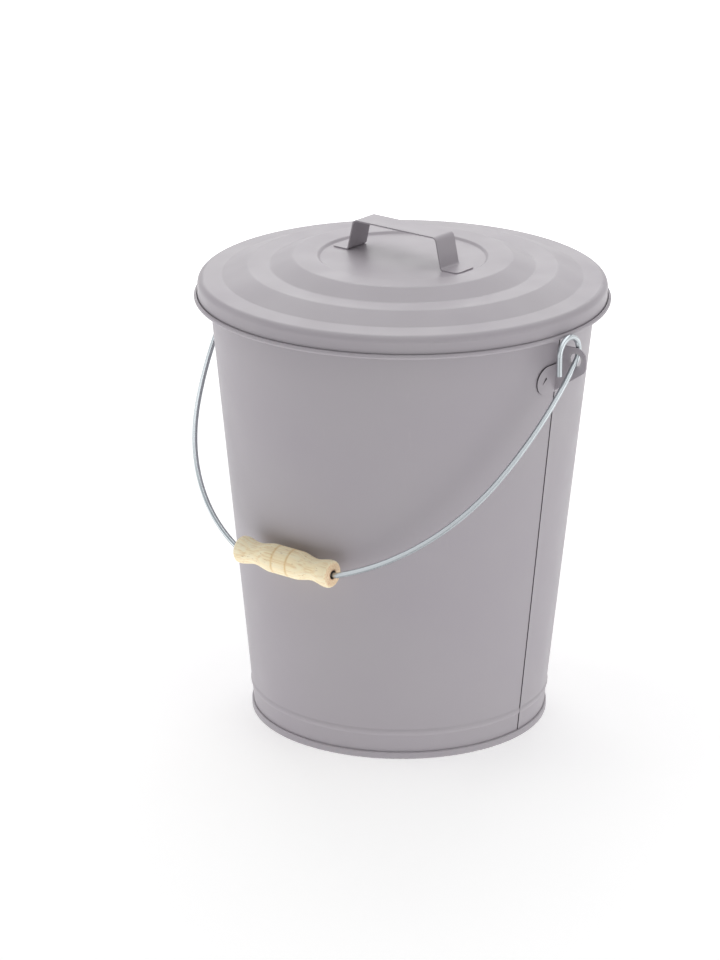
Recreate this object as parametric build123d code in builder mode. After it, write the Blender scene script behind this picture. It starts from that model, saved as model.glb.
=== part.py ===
from build123d import *
import math
import os

# Lidded ash can of coated sheet steel with a wire bail and a turned wooden grip.
# Millimetres. The origin is the centre of the base on the floor, +Z is up, the two ears
# lie on the X axis and the bail hangs against the -Y side of the wall.

# Driving dimensions of the body
sheet = 0.6                  # thickness of the wall, pan and lid
body_height = 330.2          # floor to the top of the rolled rim
base_radius = 107.4          # outside of the wall at the floor
rim_radius = 140.2           # outside of the wall at the rim
rim_roll = 5.4               # outside diameter of the rolled rim
rim_roll_turn = 290          # degrees that the rim is rolled through
ridge_height = 21.0          # centre of the stiffening ridge above the floor
ridge_width = 5.0
ridge_flat = 1.6
ridge_proud = 0.6
side_seam_width = 5.0
side_seam_step = 0.5
fit_gap = 0.1                # between curved sheets that are seamed or welded together

# Driving dimensions of the bottom pan
pan_floor = 6.4              # underside of the pan's disc above the floor
pan_corner = 1.2
foot_hem = 1.25              # thickness of the folded layers outside the wall
foot_height = 5.5
foot_corner = 0.8

# Driving dimensions of the lid
lid_side_gap = 2.0           # between the rolled rim and the inside of the skirt
lid_roll = 3.2               # outside diameter of the lid's rolled edge
lid_roll_turn = 280
lid_depth = 15.1             # bottom of the rolled edge to the shoulder
lid_seat_gap = 0.3
shoulder_corner = 4.7
lower_ledge = 17.4           # widths, from the skirt inward
lower_slope = 18.3
middle_ledge = 15.8
upper_slope = 16.6
lower_rise = 1.7             # heights above the shoulder
middle_rise = 8.6
top_rise = 15.5
recess_radius = 61.5
recess_slope = 2.2
recess_depth = 1.8
step_corner = 4.0
recess_corner = 1.6

# Driving dimensions of the lid's handle
strap_width = 21.2
strap_thickness = 1.0
strap_rise = 23.5            # recessed disc to the top of the strap
strap_top = 74.6             # outside length along the top
strap_splay = 5.1            # how far each leg leans outward
strap_tip_gap = 2.9          # between each foot's tip and the edge of the recess
strap_corner = 3.6
strap_heel = 2.4
foot_tip_corner = 3.0

# Driving dimensions of the two ears
ear_thickness = 1.0
ear_hole_drop = 32.2         # top of the rim to the hole's centre
ear_hole_diameter = 9.4
ear_margin = 8.75            # metal above and outside the hole's centre
ear_nose_drop = 7.5          # hole's centre to the lower corner of the tab
ear_foot_drop = 26.8         # hole's centre to the lower end of the flange
ear_top_corner = 8.0
ear_nose_corner = 6.0
ear_free_gap = 0.9           # between the tab and the wall above the flange
flange_height = 21.4
flange_reach = 20.4
weld_length = 6.5
weld_width = 1.8
weld_depth = 0.45
weld_turn = 46
weld_reach = 13.6            # tab to the weld mark, along the flange

# Driving dimensions of the bail and its grip
wire = 4.0
wire_drop = 0.7              # the wire hangs this far below the hole's centre
hook_radius = 11.5
hook_tail = 14.0
hook_lid_gap = 1.0           # between the hooks and the lid's rolled edge
leg_start = 1.0
leg_radius = 308.0
leg_turn = 18.7              # degrees that the upper leg leans in by
bow_exit = 66.7              # degrees from the leg's start to the grip's bend
grip_bend = 9.0
grip_length = 84.0
grip_play = 1.0
grip_radius = 10.3           # at the middle band and the bulges beside it
grip_waist = 8.0
grip_end = 9.9
grip_bore = 4.8
grip_mouth = 6.6
grip_mouth_depth = 1.2
grip_edge = 2.4
band_half = 6.4
groove_half = 0.8
groove_depth = 0.9
bulge_reach = 12.0
waist_reach = 27.0
flare_reach = 37.5
grip_wall_gap = 0.3

# The wall tapers, so most places depend on its outside radius at a height.
taper = (rim_radius - base_radius) / body_height
taper_angle = math.atan(taper)


def wall_radius(height):
    return base_radius + taper * height


# Places that several pieces share
rim_bend = (rim_roll - sheet) / 2
wall_top = body_height - rim_roll / 2 + rim_bend * math.sin(taper_angle)
rim_centre = wall_radius(wall_top) - sheet / 2 + rim_bend
lid_radius = rim_centre + rim_roll / 2 + lid_side_gap + lid_roll
ear_hole_reach = lid_radius + hook_lid_gap + wire / 2
ear_hole_height = body_height - ear_hole_drop


# Wall: tapered shell with a stiffening ridge, a rolled rim and a folded side seam
wall_foot = sheet + fit_gap
seam_bottom = foot_height + fit_gap
seam_top = body_height - rim_roll - sheet
seam_side = ear_thickness / 2 + fit_gap


def wall_middle(height, proud=0):
    return (wall_radius(height) - sheet / 2 + proud, height)


with BuildPart() as wall:
    with BuildSketch(Plane.XZ):
        with BuildLine():
            side = FilletPolyline(
                wall_middle(wall_foot),
                wall_middle(ridge_height - ridge_width / 2),
                wall_middle(ridge_height - ridge_flat / 2, ridge_proud),
                wall_middle(ridge_height + ridge_flat / 2, ridge_proud),
                wall_middle(ridge_height + ridge_width / 2),
                wall_middle(wall_top),
                radius=ridge_flat / 2,
            )
            JernArc(start=side @ 1, tangent=side % 1, radius=rim_bend, arc_size=-rim_roll_turn)
        trace(line_width=sheet)
    revolve(axis=Axis.Z)
    for height in (seam_bottom, seam_top):
        radius = wall_radius(height)
        far_side = seam_side + side_seam_width
        far_radius = math.sqrt(radius**2 - far_side**2)
        with BuildSketch(Plane.XY.offset(height)):
            with BuildLine():
                Polyline(
                    (radius - sheet / 2, seam_side),
                    (radius + side_seam_step, seam_side),
                    (far_radius, far_side),
                    (far_radius - sheet / 2, far_side),
                    close=True,
                )
            make_face()
    loft(ruled=True)
wall.part.label = "wall"


# Bottom: pan whose rim is folded under and round the foot of the wall
pan_side = base_radius - sheet - fit_gap - sheet / 2
hem_inside = wall_radius(foot_height) + fit_gap
foot_radius = hem_inside + foot_hem

with BuildPart() as bottom:
    with BuildSketch(Plane.XZ):
        with BuildLine():
            FilletPolyline(
                (0, pan_floor + sheet / 2),
                (pan_side, pan_floor + sheet / 2),
                (pan_side, sheet / 2),
                (hem_inside, sheet / 2),
                radius=(pan_corner, 0),
            )
        trace(line_width=sheet)
        with BuildLine():
            Polyline(
                (base_radius - sheet, 0),
                (foot_radius, 0),
                (foot_radius, foot_height),
                (hem_inside, foot_height),
                (wall_radius(sheet) + fit_gap, sheet),
                (base_radius - sheet, sheet),
                close=True,
            )
        make_face()
    revolve(axis=Axis.Z)
    outer_edges = bottom.edges().filter_by(GeomType.CIRCLE).filter_by(
        lambda edge: abs(edge.radius - foot_radius) < 0.001
    )
    fillet(outer_edges, radius=foot_corner)
bottom.part.label = "bottom"


# Ears: a radial tab with the bail's hole, bent round into a flange welded to the wall
ear_reach = ear_hole_reach + ear_margin
ear_top = ear_hole_height + ear_margin
ear_bottom = ear_hole_height - ear_foot_drop
nose_height = ear_hole_height - ear_nose_drop
flange_top = ear_bottom + flange_height
flange_middle = ear_bottom + flange_height / 2
flange_round = flange_height / 2
flange_inside = wall_radius(flange_middle) + fit_gap
weld_face = math.sqrt((flange_inside + ear_thickness) ** 2 - weld_reach**2)

with BuildPart() as ear_right:
    with BuildSketch(Plane.XZ):
        with BuildLine():
            Polyline(
                (wall_radius(ear_bottom) + fit_gap, ear_bottom),
                (wall_radius(flange_top) + fit_gap, flange_top),
                (wall_radius(flange_top) + fit_gap + ear_thickness, flange_top),
                (wall_radius(ear_bottom) + fit_gap + ear_thickness, ear_bottom),
                close=True,
            )
        make_face()
    revolve(axis=Axis((0, 0, 0), (0, 0, -1)), revolution_arc=15)
    with BuildSketch(Plane.YZ):
        with BuildLine():
            lower = Line((ear_thickness, ear_bottom), (flange_round - flange_reach, ear_bottom))
            tip = ThreePointArc(
                lower @ 1,
                (-flange_reach, flange_middle),
                (flange_round - flange_reach, flange_top),
            )
            upper = Line(tip @ 1, (ear_thickness, flange_top))
            Line(upper @ 1, lower @ 0)
        make_face()
    extrude(amount=2 * ear_reach, mode=Mode.INTERSECT)
    with BuildSketch(Plane.YZ.offset(weld_face - weld_depth)):
        with Locations((-weld_reach, flange_middle)):
            SlotOverall(weld_length, weld_width, rotation=weld_turn)
    extrude(amount=2 * ear_thickness, mode=Mode.SUBTRACT)
    with BuildSketch(Plane.XZ):
        with BuildLine():
            Polyline(
                (wall_radius(ear_bottom) + fit_gap, ear_bottom),
                (ear_reach, nose_height),
                (ear_reach, ear_top),
                (wall_radius(ear_top) + ear_free_gap, ear_top),
                (wall_radius(flange_top) + ear_free_gap, flange_top + ear_free_gap),
                (wall_radius(flange_top) + fit_gap, flange_top),
                close=True,
            )
        make_face()
        fillet(vertices().sort_by_distance((ear_reach, nose_height))[0], radius=ear_nose_corner)
        fillet(vertices().sort_by_distance((ear_reach, ear_top))[0], radius=ear_top_corner)
        with Locations((ear_hole_reach, ear_hole_height)):
            Circle(ear_hole_diameter / 2, mode=Mode.SUBTRACT)
    extrude(amount=ear_thickness / 2, both=True)
ear_right.part.label = "ear_right"

with BuildPart() as ear_left:
    add(ear_right.part, rotation=(0, 0, 180))
ear_left.part.label = "ear_left"


# Lid: stepped cap whose skirt drops outside the rolled rim and is rolled outward itself
lid_bend = (lid_roll - sheet) / 2
skirt_radius = lid_radius - lid_roll + sheet / 2
lower_step = skirt_radius - lower_ledge
middle_outer = lower_step - lower_slope
middle_inner = middle_outer - middle_ledge
top_radius = middle_inner - upper_slope
disc_radius = recess_radius - recess_slope
lid_fall = lower_rise * (skirt_radius - rim_centre) / lower_ledge
shoulder = body_height + lid_seat_gap + sheet / 2 - lid_fall
lid_disc = shoulder + top_rise - recess_depth + sheet / 2

with BuildPart() as lid:
    with BuildSketch(Plane.XZ):
        with BuildLine():
            crown = FilletPolyline(
                (skirt_radius, shoulder - lid_depth + lid_roll / 2),
                (skirt_radius, shoulder),
                (lower_step, shoulder + lower_rise),
                (middle_outer, shoulder + middle_rise),
                (middle_inner, shoulder + middle_rise),
                (top_radius, shoulder + top_rise),
                (recess_radius, shoulder + top_rise),
                (disc_radius, shoulder + top_rise - recess_depth),
                (0, shoulder + top_rise - recess_depth),
                radius=(
                    shoulder_corner,
                    step_corner,
                    step_corner,
                    step_corner,
                    step_corner,
                    recess_corner,
                    recess_corner,
                ),
            )
            JernArc(start=crown @ 0, tangent=(0, -1), radius=lid_bend, arc_size=lid_roll_turn)
        trace(line_width=sheet)
    revolve(axis=Axis.Z)
lid.part.label = "lid"


# Lid handle: a flat strap bent into a staple, its feet turned outward on the recessed disc
strap_half = strap_thickness / 2
strap_low = lid_disc + strap_half
strap_high = lid_disc + strap_rise - strap_half
leg_top = strap_top / 2 - strap_half
leg_bottom = leg_top + strap_splay
strap_tip = disc_radius - strap_tip_gap

with BuildPart() as lid_handle:
    with BuildSketch(Plane.XZ):
        with BuildLine():
            FilletPolyline(
                (-strap_tip, strap_low),
                (-leg_bottom, strap_low),
                (-leg_top, strap_high),
                (leg_top, strap_high),
                (leg_bottom, strap_low),
                (strap_tip, strap_low),
                radius=(strap_heel, strap_corner, strap_corner, strap_heel),
            )
        trace(line_width=strap_thickness)
    extrude(amount=strap_width / 2, both=True)
    tips = lid_handle.edges().filter_by(Axis.Z).group_by(SortBy.LENGTH)[0]
    fillet(tips, radius=foot_tip_corner)
lid_handle.part.label = "lid_handle"


# Bail: one wire, hooked through each ear and bowed down to the straight that carries the grip
leg_lean = math.radians(leg_turn)
exit_lean = math.radians(bow_exit)
hook_height = ear_hole_height - wire_drop
straight_half = grip_length / 2 + grip_play
bow_drop = ear_hole_reach - leg_radius * (1 - math.cos(leg_lean)) - grip_bend * math.cos(exit_lean)
bow_radius = (bow_drop - straight_half) / (math.cos(leg_lean) - math.cos(exit_lean))
leg_end = leg_start + leg_radius * math.sin(leg_lean)
bow_end = leg_end + bow_radius * (math.sin(exit_lean) - math.sin(leg_lean))
bail_reach = bow_end + grip_bend * (1 - math.sin(exit_lean))

# The bail hangs until the grip lies against the tapered wall.
grip_standoff = wall_radius(hook_height) * math.cos(taper_angle) + grip_radius + grip_wall_gap
hang = math.asin(grip_standoff / bail_reach) - taper_angle


def on_bail(across, along):
    return (across, -along * math.sin(hang), hook_height - along * math.cos(hang))


def on_leg(lean):
    across = ear_hole_reach - leg_radius * (1 - math.cos(lean))
    return on_bail(across, leg_start + leg_radius * math.sin(lean))


def on_bow(lean):
    across = straight_half + grip_bend * math.cos(exit_lean)
    across += bow_radius * (math.cos(lean) - math.cos(exit_lean))
    return on_bail(across, leg_end + bow_radius * (math.sin(lean) - math.sin(leg_lean)))


def on_bend(lean):
    across = straight_half + grip_bend * math.cos(lean)
    return on_bail(across, bow_end + grip_bend * (math.sin(lean) - math.sin(exit_lean)))


hook_y = -hook_radius * math.cos(hang)
hook_z = hook_height + hook_radius * math.sin(hang)


def on_hook(turn):
    return (ear_hole_reach, hook_y + hook_radius * math.cos(turn), hook_z + hook_radius * math.sin(turn))


tail_end = (ear_hole_reach, hook_y - hook_radius, hook_z - hook_tail)

with BuildPart() as bail:
    with BuildLine() as bail_line:
        Line(tail_end, on_hook(math.pi))
        ThreePointArc(on_hook(math.pi), on_hook((math.pi - hang) / 2), on_hook(-hang))
        Line(on_bail(ear_hole_reach, 0), on_leg(0))
        ThreePointArc(on_leg(0), on_leg(leg_lean / 2), on_leg(leg_lean))
        ThreePointArc(on_bow(leg_lean), on_bow((leg_lean + exit_lean) / 2), on_bow(exit_lean))
        ThreePointArc(on_bend(exit_lean), on_bend((exit_lean + math.pi / 2) / 2), on_bend(math.pi / 2))
        mirror(about=Plane.YZ)
        Line(on_bail(straight_half, bail_reach), on_bail(-straight_half, bail_reach))
    with BuildSketch(Plane(origin=tail_end, z_dir=(0, 0, 1))):
        Circle(wire / 2)
    sweep(path=bail_line.wire())
bail.part.label = "bail"


# Grip: turned wood with a middle band between two grooves, waists and flared ends
grip_centre = on_bail(0, bail_reach)
half_length = grip_length / 2

with BuildPart() as grip:
    with BuildSketch(Plane(origin=grip_centre, x_dir=(1, 0, 0), z_dir=(0, -1, 0))):
        with BuildLine():
            Polyline(
                (0, grip_radius),
                (band_half - groove_half, grip_radius),
                (band_half, grip_radius - groove_depth),
                (band_half + groove_half, grip_radius),
            )
            swell = Spline(
                (band_half + groove_half, grip_radius),
                (bulge_reach, grip_radius),
                (waist_reach, grip_waist),
                (flare_reach, grip_end),
                (half_length - grip_edge, grip_end),
                tangents=((1, 0), (1, 0)),
            )
            edge = RadiusArc(swell @ 1, (half_length, grip_end - grip_edge), grip_edge)
            Polyline(
                edge @ 1,
                (half_length, grip_mouth / 2),
                (half_length - grip_mouth_depth, grip_bore / 2),
                (0, grip_bore / 2),
            )
            mirror(about=Plane.YZ)
        make_face()
    revolve(axis=Axis(grip_centre, (1, 0, 0)))
grip.part.label = "grip"


pieces = (wall, bottom, ear_left, ear_right, lid, lid_handle, bail, grip)
os.makedirs("parts", exist_ok=True)
for piece in pieces:
    export_step(piece.part, f"parts/{piece.part.label}.step")

print("hang of the bail, degrees", round(math.degrees(hang), 3))
print("hook centre", round(hook_y, 3), round(hook_z, 3))
print("grip centre", [round(value, 3) for value in grip_centre])
print("lid disc", round(lid_disc, 3), "shoulder", round(shoulder, 3))
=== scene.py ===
import math

import bpy
from mathutils import Matrix, Vector


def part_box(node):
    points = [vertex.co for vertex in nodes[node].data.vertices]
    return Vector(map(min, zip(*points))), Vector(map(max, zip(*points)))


# Lidded ash can: coated sheet steel, zinc-bright wire bail, turned wooden grip.
# Metres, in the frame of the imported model: +Z up, ears on X, bail on the -Y side.

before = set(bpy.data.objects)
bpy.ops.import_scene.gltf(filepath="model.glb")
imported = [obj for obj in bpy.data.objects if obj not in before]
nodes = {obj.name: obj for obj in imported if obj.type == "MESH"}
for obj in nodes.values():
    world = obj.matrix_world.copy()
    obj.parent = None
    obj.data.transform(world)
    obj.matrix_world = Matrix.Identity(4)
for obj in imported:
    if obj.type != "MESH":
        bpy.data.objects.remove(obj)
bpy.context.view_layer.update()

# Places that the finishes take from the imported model
EAR_MARGIN = 0.00875
WIRE_DROP = 0.0007
RIM_DEPTH = 0.0061
ear_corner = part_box("ear_right")[1]
grip_low, grip_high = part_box("grip")
EAR_HOLE = (ear_corner.x - EAR_MARGIN, ear_corner.z - EAR_MARGIN)
GRIP_CENTRE = (grip_low + grip_high) / 2
GRIP_HALF = (grip_high.x - grip_low.x) / 2
BAIL_HANG = math.atan2(-GRIP_CENTRE.y, EAR_HOLE[1] - WIRE_DROP - GRIP_CENTRE.z)
SEAM_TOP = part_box("wall")[1].z - RIM_DEPTH

# Camera: a long lens, placed as measured from the rims and the base in the photograph
IMAGE_WIDTH = 720
IMAGE_HEIGHT = 960
CAMERA_AIM = Vector((0, 0, 0.160))
CAMERA_DISTANCE = 3.0
CAMERA_AZIMUTH = 37.3
CAMERA_ELEVATION = 19.91
CAMERA_ROLL = 0.48
CAMERA_CLIP_END = 20
FOCAL_PIXELS = 4099.0
AIM_PIXEL = (400.8, 498.9)
SENSOR = 36.0


def make_camera():
    azimuth = math.radians(CAMERA_AZIMUTH)
    elevation = math.radians(CAMERA_ELEVATION)
    back = Vector((
        math.sin(azimuth) * math.cos(elevation),
        -math.cos(azimuth) * math.cos(elevation),
        math.sin(elevation),
    ))
    data = bpy.data.cameras.new("camera")
    data.sensor_width = SENSOR
    data.sensor_fit = "AUTO"
    data.lens = FOCAL_PIXELS * SENSOR / IMAGE_HEIGHT
    data.shift_x = (IMAGE_WIDTH / 2 - AIM_PIXEL[0]) / IMAGE_HEIGHT
    data.shift_y = (AIM_PIXEL[1] - IMAGE_HEIGHT / 2) / IMAGE_HEIGHT
    data.clip_end = CAMERA_CLIP_END
    camera = bpy.data.objects.new("camera", data)
    bpy.context.scene.collection.objects.link(camera)
    turn = (-back).to_track_quat("-Z", "Y").to_matrix().to_4x4()
    roll = Matrix.Rotation(math.radians(CAMERA_ROLL), 4, "Z")
    camera.matrix_world = Matrix.Translation(CAMERA_AIM + back * CAMERA_DISTANCE) @ turn @ roll
    bpy.context.scene.camera = camera


# Colours, as sRGB parts of 0 to 255
COAT = (168, 162, 169)
COAT_CLOUD = (171, 166, 171)
COAT_SCUFF = (184, 180, 183)
BARE_STEEL = (188, 187, 186)
# Painted shade for the gaps at the side seam and the flanges' edges
CREVICE_SHADE = (50, 45, 49)
ZINC = (202, 208, 211)
ZINC_DULL = (180, 186, 190)
# Painted reflection, laid over the wire's drawing lines
ZINC_REFLECTION_LINE = (104, 110, 114)
WOOD_EARLY = (255, 245, 214)
WOOD_LATE = (255, 236, 194)
WOOD_FIBRE = (232, 198, 146)
WOOD_FLECK = (170, 130, 84)
END_GRAIN = (232, 192, 156)
END_STAIN = (168, 106, 70)
# Painted shade inside the grip's bore
BORE_SHADE = (38, 26, 18)
WHITE = (1, 1, 1, 1)

# The sRGB curve: a straight start, then a power
SRGB_START = 0.04045
SRGB_SLOPE = 12.92
SRGB_OFFSET = 0.055
SRGB_POWER = 2.4


def linear(colour):
    """An sRGB colour as linear light, with an alpha of 1."""
    light = []
    for part in colour:
        value = part / 255
        if value <= SRGB_START:
            light.append(value / SRGB_SLOPE)
        else:
            light.append(((value + SRGB_OFFSET) / (1 + SRGB_OFFSET)) ** SRGB_POWER)
    return (*light, 1)


# Places of the mix node's sockets for colours, and of the vector node's output for a number
MIX_FIRST = 6
MIX_SECOND = 7
MIX_RESULT = 2
NUMBER = 1

# Stands for no turn, and for a second vector that isn't used
ORIGIN = (0, 0, 0)


class Finish:
    """One material, with short ways to add nodes that work in the object's own metres."""

    def __init__(self, name):
        self.material = bpy.data.materials.new(name)
        self.material.use_nodes = True
        self.tree = self.material.node_tree
        self.shader = self.tree.nodes["Principled BSDF"]
        self.coordinates = self.tree.nodes.new("ShaderNodeTexCoord")
        self.place = self.coordinates.outputs["Object"]
        self.normal = self.coordinates.outputs["Normal"]

    def put(self, value, socket):
        """Links an output to a socket, or sets the socket to a number or vector."""
        if isinstance(value, bpy.types.NodeSocket):
            self.tree.links.new(value, socket)
        else:
            socket.default_value = value

    def give(self, name, value):
        """Gives a value to one of the shader's inputs."""
        self.put(value, self.shader.inputs[name])

    def math(self, operation, *values):
        node = self.tree.nodes.new("ShaderNodeMath")
        node.operation = operation
        for value, socket in zip(values, node.inputs):
            self.put(value, socket)
        return node.outputs[0]

    def vector(self, operation, first, second, output=0):
        node = self.tree.nodes.new("ShaderNodeVectorMath")
        node.operation = operation
        self.put(first, node.inputs[0])
        self.put(second, node.inputs[1])
        return node.outputs[output]

    def length(self, vector):
        return self.vector("LENGTH", vector, ORIGIN, NUMBER)

    def parts(self, vector):
        node = self.tree.nodes.new("ShaderNodeSeparateXYZ")
        self.put(vector, node.inputs[0])
        return node.outputs

    def joined(self, x, y, z):
        node = self.tree.nodes.new("ShaderNodeCombineXYZ")
        for value, socket in zip((x, y, z), node.inputs):
            self.put(value, socket)
        return node.outputs[0]

    def noise(self, place, scale, detail, stretch=(1, 1, 1), turn=ORIGIN):
        """Noise with about scale bumps to the metre, each axis multiplied by its stretch."""
        mapping = self.tree.nodes.new("ShaderNodeMapping")
        mapping.inputs["Scale"].default_value = [scale * part for part in stretch]
        mapping.inputs["Rotation"].default_value = turn
        self.put(place, mapping.inputs["Vector"])
        node = self.tree.nodes.new("ShaderNodeTexNoise")
        node.inputs["Scale"].default_value = 1
        node.inputs["Detail"].default_value = detail
        self.put(mapping.outputs[0], node.inputs["Vector"])
        return node.outputs[0]

    def span(self, value, fade, levels=(0, 1)):
        """Carries the two values of fade over to the two levels, and stays between them."""
        node = self.tree.nodes.new("ShaderNodeMapRange")
        self.put(value, node.inputs["Value"])
        self.put(fade[0], node.inputs["From Min"])
        self.put(fade[1], node.inputs["From Max"])
        self.put(levels[0], node.inputs["To Min"])
        self.put(levels[1], node.inputs["To Max"])
        return node.outputs[0]

    def pattern(self, place, fade, levels=(0, 1), **noise):
        """Noise that sets in over fade and runs from one level to the other."""
        return self.span(self.noise(place, **noise), fade, levels)

    def blend(self, factor, first, second):
        """A colour between two colours."""
        node = self.tree.nodes.new("ShaderNodeMix")
        node.data_type = "RGBA"
        self.put(factor, node.inputs[0])
        self.put(first, node.inputs[MIX_FIRST])
        self.put(second, node.inputs[MIX_SECOND])
        return node.outputs[MIX_RESULT]

    def bump(self, height, distance, normal=None):
        node = self.tree.nodes.new("ShaderNodeBump")
        node.inputs["Distance"].default_value = distance
        node.inputs["Strength"].default_value = 1
        self.put(height, node.inputs["Height"])
        if normal is not None:
            self.put(normal, node.inputs["Normal"])
        return node.outputs[0]


# Powder coat: satin mauve grey, faintly clouded, with light rubs where things touch it
COAT_CLOUDS = {"scale": 11, "detail": 3, "fade": (0.35, 0.65)}
COAT_GRAIN = {"scale": 1300, "detail": 1, "fade": (0.3, 0.7), "levels": (0, 0.35)}
COAT_TONE = 0.7
COAT_GLOSS = {"scale": 38, "detail": 3, "fade": (0.3, 0.7), "levels": (0.36, 0.46)}
COAT_SPECULAR = 0.5
ORANGE_PEEL = {"scale": 520, "detail": 1}
ORANGE_PEEL_DEPTH = 0.000010
SHEET_WAVES = {"scale": 14, "detail": 1}
SHEET_WAVE_DEPTH = 0.00012

# Hairline handling marks: long thin lines, in patches
HAIRLINES = {"scale": 700, "detail": 1, "stretch": (1, 1, 0.03), "fade": (0.68, 0.76)}
HAIRLINE_PATCHES = {"scale": 16, "detail": 1, "fade": (0.52, 0.66)}
HAIRLINE_TURNS = ((0.2, 0.4, 0.9), (1.1, 0.3, 2.2))
HAIRLINE_COLOUR = 0.15
HAIRLINE_ROUGHNESS = 0.12

# Rubs round the ears' holes and under the foot: where each fades, and from what strength
HOLE_RUB = (0.0049, 0.0068)
HOLE_RUB_LEVELS = (0.75, 0)
FOOT_RUB = (0.0003, 0.0020)
FOOT_RUB_LEVELS = (0.5, 0)
RUB_BREAKS = {"scale": 420, "detail": 3, "fade": (0.42, 0.60)}

# Painted shade: dark lines at the side seam on the wall, and along the flanges' cut edges on
# the ears, where their gaps fall in shade
CREVICE_SHADE_DEPTH = 0.9
SEAM_PLACE = 0.0006
SEAM_HALF = 0.0003
SEAM_FADE = (SEAM_HALF * 0.8, SEAM_HALF * 1.2)
SEAM_BOTTOM = 0.0057
TAB_HALF = 0.0008
EDGE_FACING = (0.30, 0.60)


def seam_shade(finish):
    """Painted shade: the dark line at the foot of the side seam's step, on the wall."""
    x, y, z = finish.parts(finish.place)
    away = finish.math("ABSOLUTE", finish.math("SUBTRACT", y, SEAM_PLACE))
    line = finish.span(away, SEAM_FADE, (1, 0))
    above = finish.math("GREATER_THAN", z, SEAM_BOTTOM)
    below = finish.math("LESS_THAN", z, SEAM_TOP)
    right = finish.math("GREATER_THAN", x, 0)
    on_side = finish.math("MULTIPLY", finish.math("MULTIPLY", above, below), right)
    return finish.math("MULTIPLY", line, on_side)


def flange_edge_shade(finish):
    """Painted shade along the cut edges of the ears' flanges, in the gap beside the wall."""
    x, y, _ = finish.parts(finish.place)
    outward = finish.vector("NORMALIZE", finish.joined(x, y, 0), ORIGIN)
    facing = finish.vector("DOT_PRODUCT", finish.normal, outward, NUMBER)
    edge_shade = finish.span(finish.math("ABSOLUTE", facing), EDGE_FACING, (1, 0))
    past_tab = finish.math("GREATER_THAN", finish.math("ABSOLUTE", y), TAB_HALF)
    return finish.math("MULTIPLY", edge_shade, past_tab)


def hairlines(finish):
    """Sparse handling marks in two directions."""
    marks = []
    for turn in HAIRLINE_TURNS:
        lines = finish.pattern(finish.place, turn=turn, **HAIRLINES)
        patch = finish.pattern(finish.place, turn=turn, **HAIRLINE_PATCHES)
        marks.append(finish.math("MULTIPLY", lines, patch))
    return finish.math("MAXIMUM", *marks)


def rubs(finish):
    """Bare places: the hooks rub the ears round their holes, and the foot rubs the floor."""
    x, _, z = finish.parts(finish.place)
    across = finish.math("SUBTRACT", finish.math("ABSOLUTE", x), EAR_HOLE[0])
    above = finish.math("SUBTRACT", z, EAR_HOLE[1])
    from_hole = finish.length(finish.joined(across, 0, above))
    hole = finish.span(from_hole, HOLE_RUB, HOLE_RUB_LEVELS)
    foot = finish.span(z, FOOT_RUB, FOOT_RUB_LEVELS)
    broken = finish.pattern(finish.place, **RUB_BREAKS)
    return finish.math("MULTIPLY", finish.math("MAXIMUM", hole, foot), broken)


def coated_steel(name, painted_shade=None):
    """The coat, with the painted shade lines that a shade function adds for one kind of piece.
    """
    finish = Finish(name)
    place = finish.place

    # Slow clouds and fine grain in the colour, then marks, rubs and painted shade lines
    cloud = finish.pattern(place, **COAT_CLOUDS)
    grain = finish.pattern(place, **COAT_GRAIN)
    tone = finish.math("MULTIPLY", finish.math("ADD", cloud, grain), COAT_TONE)
    colour = finish.blend(tone, linear(COAT), linear(COAT_CLOUD))
    scratch = hairlines(finish)
    faint = finish.math("MULTIPLY", scratch, HAIRLINE_COLOUR)
    colour = finish.blend(faint, colour, linear(COAT_SCUFF))
    colour = finish.blend(rubs(finish), colour, linear(BARE_STEEL))
    if painted_shade:
        # Painted shade: near-black lines where the seam and gaps fall in shade
        dark = finish.math("MULTIPLY", painted_shade(finish), CREVICE_SHADE_DEPTH)
        colour = finish.blend(dark, colour, linear(CREVICE_SHADE))
    finish.give("Base Color", colour)

    # Gloss that changes a little from place to place
    gloss = finish.pattern(place, **COAT_GLOSS)
    worn = finish.math("ADD", gloss, finish.math("MULTIPLY", scratch, HAIRLINE_ROUGHNESS))
    finish.give("Roughness", worn)
    finish.give("Specular IOR Level", COAT_SPECULAR)

    # Long waves of the sheet under a fine orange peel
    waves = finish.bump(finish.noise(place, **SHEET_WAVES), SHEET_WAVE_DEPTH)
    peel = finish.bump(finish.noise(place, **ORANGE_PEEL), ORANGE_PEEL_DEPTH, waves)
    finish.give("Normal", peel)
    return finish.material


# Zinc: bright plated wire, with lengthwise drawing lines, darkened as painted reflection
ZINC_ROUGHNESS = (0.22, 0.36)
BAIL_FACE = (0, -math.cos(BAIL_HANG), math.sin(BAIL_HANG))
LINE_PACE = 5.0
ZINC_STREAKS = {"scale": 1, "detail": 2, "fade": (0.42, 0.60)}
ZINC_PATCHES = {"scale": 110, "detail": 2, "fade": (0.40, 0.65), "levels": (0, 0.4)}
ZINC_SCORES_AND_REFLECTION = {
    "scale": 1.7,
    "detail": 1,
    "stretch": (1, 0.6, 0.6),
    "fade": (0.58, 0.66),
    "levels": (0, 0.85),
}
SCORE_DEPTH = 0.000004


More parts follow.
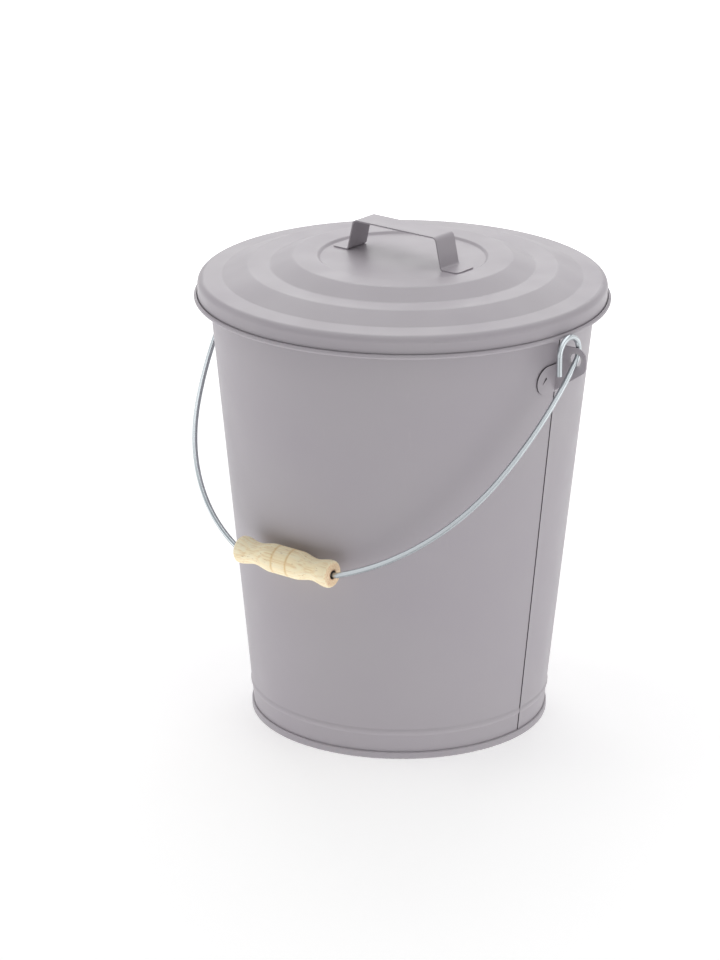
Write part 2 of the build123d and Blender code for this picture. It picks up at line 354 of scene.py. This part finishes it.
def wire_steel():
    finish = Finish("wire_steel")
    x, _, z = finish.parts(finish.place)

    # The lines follow the normal round the section, and drift slowly along the wire
    round_wire = finish.vector("DOT_PRODUCT", finish.normal, BAIL_FACE, NUMBER)
    paced = [finish.math("MULTIPLY", value, LINE_PACE) for value in (round_wire, x, z)]
    lines = finish.joined(*paced)
    streak = finish.pattern(lines, **ZINC_STREAKS)
    patch = finish.pattern(finish.place, **ZINC_PATCHES)
    dull = finish.math("MAXIMUM", streak, patch)
    colour = finish.blend(dull, linear(ZINC), linear(ZINC_DULL))
    # Lengthwise drawing lines, darkened further as painted reflection of a dark surround
    score_and_reflection = finish.pattern(lines, **ZINC_SCORES_AND_REFLECTION)
    colour = finish.blend(score_and_reflection, colour, linear(ZINC_REFLECTION_LINE))
    finish.give("Base Color", colour)
    finish.give("Metallic", 1.0)
    finish.give("Roughness", finish.span(dull, (0, 1), ZINC_ROUGHNESS))
    finish.give("Normal", finish.bump(score_and_reflection, SCORE_DEPTH))
    return finish.material


# Wood: pale turned beech, with growth rings round a pith outside the grip
RING_SPACING = 0.0021
RING_FADE = (-0.4, 1.0)
RING_LEVELS = (0, 0.5)
RING_WANDER = {"scale": 30, "detail": 1, "stretch": (0.3, 1, 1)}
RING_WANDER_REACH = 0.002
PITH = (0, 0.031, -0.017)

# Broad warm clouds, lengthwise fibres and short dark flecks
FIBRE_LEVELS = (0, 0.6)
WOOD_CLOUDS = {
    "scale": 55,
    "detail": 2,
    "stretch": (0.4, 1, 1),
    "fade": (0.40, 0.65),
    "levels": (0, 0.45),
}
WOOD_FIBRES = {
    "scale": 950,
    "detail": 2,
    "stretch": (0.045, 1, 1),
    "fade": (0.48, 0.70),
    "levels": FIBRE_LEVELS,
}
WOOD_FLECKS = {
    "scale": 1400,
    "detail": 1,
    "stretch": (0.16, 1, 1),
    "fade": (0.70, 0.77),
    "levels": (0, 0.7),
}

# Darker tan bands along the grooves, beside the grip's middle band
GROOVE_PLACE = 0.0064
GROOVE_HALF = 0.0008
GROOVE_FADE = (GROOVE_HALF * 0.3, GROOVE_HALF * 1.9)
GROOVE_LEVELS = (0.40, 0)

# End grain, the stain round the bore, and painted shade inside the bore
END_INSET = 0.0015
END_BLEND = 0.001
END_FADE = (GRIP_HALF - END_INSET - END_BLEND, GRIP_HALF - END_INSET + END_BLEND)
END_FACING = (0.80, 0.97)
END_PORES = {"scale": 1700, "detail": 2, "fade": (0.42, 0.66), "levels": (0.35, 0.95)}
BORE_EDGE = 0.0033
BORE_SHADE_FADE = (BORE_EDGE - 0.0002, BORE_EDGE + 0.0003)
BORE_SHADE_LEVELS = (0.95, 0)
STAIN_FADE = (BORE_EDGE + 0.001, BORE_EDGE + 0.0034)
STAIN_LEVELS = (0.8, 0)
STAIN_RAGS = {"scale": 600, "detail": 2}
STAIN_RAG_REACH = 0.004

# Sheen and relief of the wood
WOOD_ROUGHNESS = (0.52, 0.68)
WOOD_SPECULAR = 0.35
RING_RELIEF = 0.3
WOOD_RELIEF_DEPTH = 0.00012


def end_grain(finish, colour, place, across):
    """Darker and redder wood on the two end faces, stained round the bore, with painted shade
    inside the bore.
    """
    along = finish.math("ABSOLUTE", finish.parts(place)[0])
    facing = finish.math("ABSOLUTE", finish.parts(finish.normal)[0])
    at_end = finish.span(along, END_FADE)
    end = finish.math("MULTIPLY", finish.span(facing, END_FACING), at_end)
    pores = finish.pattern(place, **END_PORES)
    colour = finish.blend(finish.math("MULTIPLY", end, pores), colour, linear(END_GRAIN))
    radius = finish.length(across)
    rags = finish.math("MULTIPLY", finish.noise(place, **STAIN_RAGS), STAIN_RAG_REACH)
    stain = finish.span(finish.math("ADD", radius, rags), STAIN_FADE, STAIN_LEVELS)
    colour = finish.blend(finish.math("MULTIPLY", end, stain), colour, linear(END_STAIN))
    # Painted shade: the inside of the bore is painted near black
    bore = finish.span(radius, BORE_SHADE_FADE, BORE_SHADE_LEVELS)
    return finish.blend(bore, colour, linear(BORE_SHADE))


def grip_wood():
    finish = Finish("grip_wood")
    place = finish.vector("SUBTRACT", finish.place, tuple(GRIP_CENTRE))

    # Growth rings, bent a little along the grip's length
    across = finish.vector("MULTIPLY", place, (0, 1, 1))
    from_pith = finish.length(finish.vector("SUBTRACT", across, PITH))
    wander = finish.math("MULTIPLY", finish.noise(place, **RING_WANDER), RING_WANDER_REACH)
    bent = finish.math("ADD", from_pith, wander)
    wave = finish.math("SINE", finish.math("MULTIPLY", bent, 2 * math.pi / RING_SPACING))
    ring = finish.span(wave, RING_FADE, RING_LEVELS)
    colour = finish.blend(ring, linear(WOOD_EARLY), linear(WOOD_LATE))

    cloud = finish.pattern(place, **WOOD_CLOUDS)
    colour = finish.blend(cloud, colour, linear(WOOD_LATE))
    fibre = finish.pattern(place, **WOOD_FIBRES)
    colour = finish.blend(fibre, colour, linear(WOOD_FIBRE))
    fleck = finish.pattern(place, **WOOD_FLECKS)
    colour = finish.blend(fleck, colour, linear(WOOD_FLECK))

    along = finish.math("ABSOLUTE", finish.parts(place)[0])
    from_groove = finish.math("ABSOLUTE", finish.math("SUBTRACT", along, GROOVE_PLACE))
    groove = finish.span(from_groove, GROOVE_FADE, GROOVE_LEVELS)
    colour = finish.blend(groove, colour, linear(WOOD_FIBRE))
    finish.give("Base Color", end_grain(finish, colour, place, across))

    finish.give("Roughness", finish.span(fibre, FIBRE_LEVELS, WOOD_ROUGHNESS))
    finish.give("Specular IOR Level", WOOD_SPECULAR)
    raised = finish.math("MULTIPLY", ring, RING_RELIEF)
    height = finish.math("SUBTRACT", raised, finish.math("ADD", fibre, fleck))
    finish.give("Normal", finish.bump(height, WOOD_RELIEF_DEPTH))
    return finish.material


def dress():
    """Gives every node of the frame its finish."""
    coat = coated_steel("coated_steel")
    # The ears and the wall get painted shade along their gaps and seam
    ear = coated_steel("coated_steel_ear_edge_shade", flange_edge_shade)
    finishes = {
        "wall": coated_steel("coated_steel_wall_seam_shade", seam_shade),
        "ear_left": ear,
        "ear_right": ear,
        "bail": wire_steel(),
        "grip": grip_wood(),
    }
    for name, piece in nodes.items():
        material = finishes.get(name, coat)
        if not piece.material_slots:
            piece.data.materials.append(material)
        for slot in piece.material_slots:
            slot.material = material


# Light: a soft white surround, broad lamps above and behind, and two soft side panels
WORLD_STRENGTH = 0.25
BACKDROP_STRENGTH = 1.0
LAMPS = {
    "top": {"place": (0.0, 0.0, 1.9), "size": (2.6, 2.6), "watts": 20.6},
    "back": {"place": (-0.9, 1.2, 1.4), "size": (1.6, 1.6), "watts": 9.1},
    "left": {"place": (-1.6, -0.8, 0.7), "size": (1.3, 1.4), "watts": 4.7},
    "right": {"place": (1.7, 0.2, 0.5), "size": (1.3, 1.4), "watts": 4.4},
}
LAMP_AIM = (0, 0, 0.2)


def seen_directly(tree):
    """A value of 1 for camera, glossy and transmission rays, and 0 for all others."""
    path = tree.nodes.new("ShaderNodeLightPath")
    seen = path.outputs["Is Camera Ray"]
    for ray in ("Is Glossy Ray", "Is Transmission Ray"):
        either = tree.nodes.new("ShaderNodeMath")
        either.operation = "MAXIMUM"
        tree.links.new(seen, either.inputs[0])
        tree.links.new(path.outputs[ray], either.inputs[1])
        seen = either.outputs[0]
    return seen


def white_background(tree, strength):
    node = tree.nodes.new("ShaderNodeBackground")
    node.inputs["Color"].default_value = WHITE
    node.inputs["Strength"].default_value = strength
    return node.outputs[0]


def make_world():
    world = bpy.data.worlds.new("studio")
    bpy.context.scene.world = world
    world.use_nodes = True
    tree = world.node_tree
    tree.nodes.clear()
    mix = tree.nodes.new("ShaderNodeMixShader")
    out = tree.nodes.new("ShaderNodeOutputWorld")
    tree.links.new(seen_directly(tree), mix.inputs["Fac"])
    tree.links.new(white_background(tree, WORLD_STRENGTH), mix.inputs[1])
    tree.links.new(white_background(tree, BACKDROP_STRENGTH), mix.inputs[2])
    tree.links.new(mix.outputs[0], out.inputs["Surface"])


def make_lamp(name, place, size, watts):
    data = bpy.data.lights.new(name, "AREA")
    data.shape = "RECTANGLE"
    data.size, data.size_y = size
    data.energy = watts
    lamp = bpy.data.objects.new(name, data)
    bpy.context.scene.collection.objects.link(lamp)
    lamp.location = place
    lamp.rotation_euler = (Vector(LAMP_AIM) - Vector(place)).to_track_quat("-Z", "Y").to_euler()
    lamp.visible_camera = False


# Floor: its own glow grows from the middle outwards where it is seen, and is steady for light
FLOOR_HALF = 3.0
FLOOR_GREY = 0.90
FLOOR_ROUGHNESS = 0.9
FLOOR_FADE = (0.5, 2.2)
FLOOR_SEEN = (0.36, 1.0)
FLOOR_BOUNCE = 0.70


def make_floor():
    """A pale floor with a glow of its own: it shows white and keeps the object's shadow."""
    corners = [
        (-FLOOR_HALF, -FLOOR_HALF, 0),
        (FLOOR_HALF, -FLOOR_HALF, 0),
        (FLOOR_HALF, FLOOR_HALF, 0),
        (-FLOOR_HALF, FLOOR_HALF, 0),
    ]
    mesh = bpy.data.meshes.new("floor")
    mesh.from_pydata(corners, [], [(0, 1, 2, 3)])
    floor = bpy.data.objects.new("floor", mesh)
    bpy.context.scene.collection.objects.link(floor)
    finish = Finish("floor")
    finish.give("Base Color", (FLOOR_GREY, FLOOR_GREY, FLOOR_GREY, 1))
    finish.give("Roughness", FLOOR_ROUGHNESS)
    finish.give("Specular IOR Level", 0.0)
    finish.give("Emission Color", WHITE)
    seen = finish.span(finish.length(finish.place), FLOOR_FADE, FLOOR_SEEN)
    glow = finish.span(seen_directly(finish.tree), (0, 1), (FLOOR_BOUNCE, seen))
    finish.give("Emission Strength", glow)
    mesh.materials.append(finish.material)


make_camera()
dress()
make_world()
make_floor()
for lamp_name, lamp_values in LAMPS.items():
    make_lamp(lamp_name, **lamp_values)
bpy.context.scene.view_settings.view_transform = "Standard"
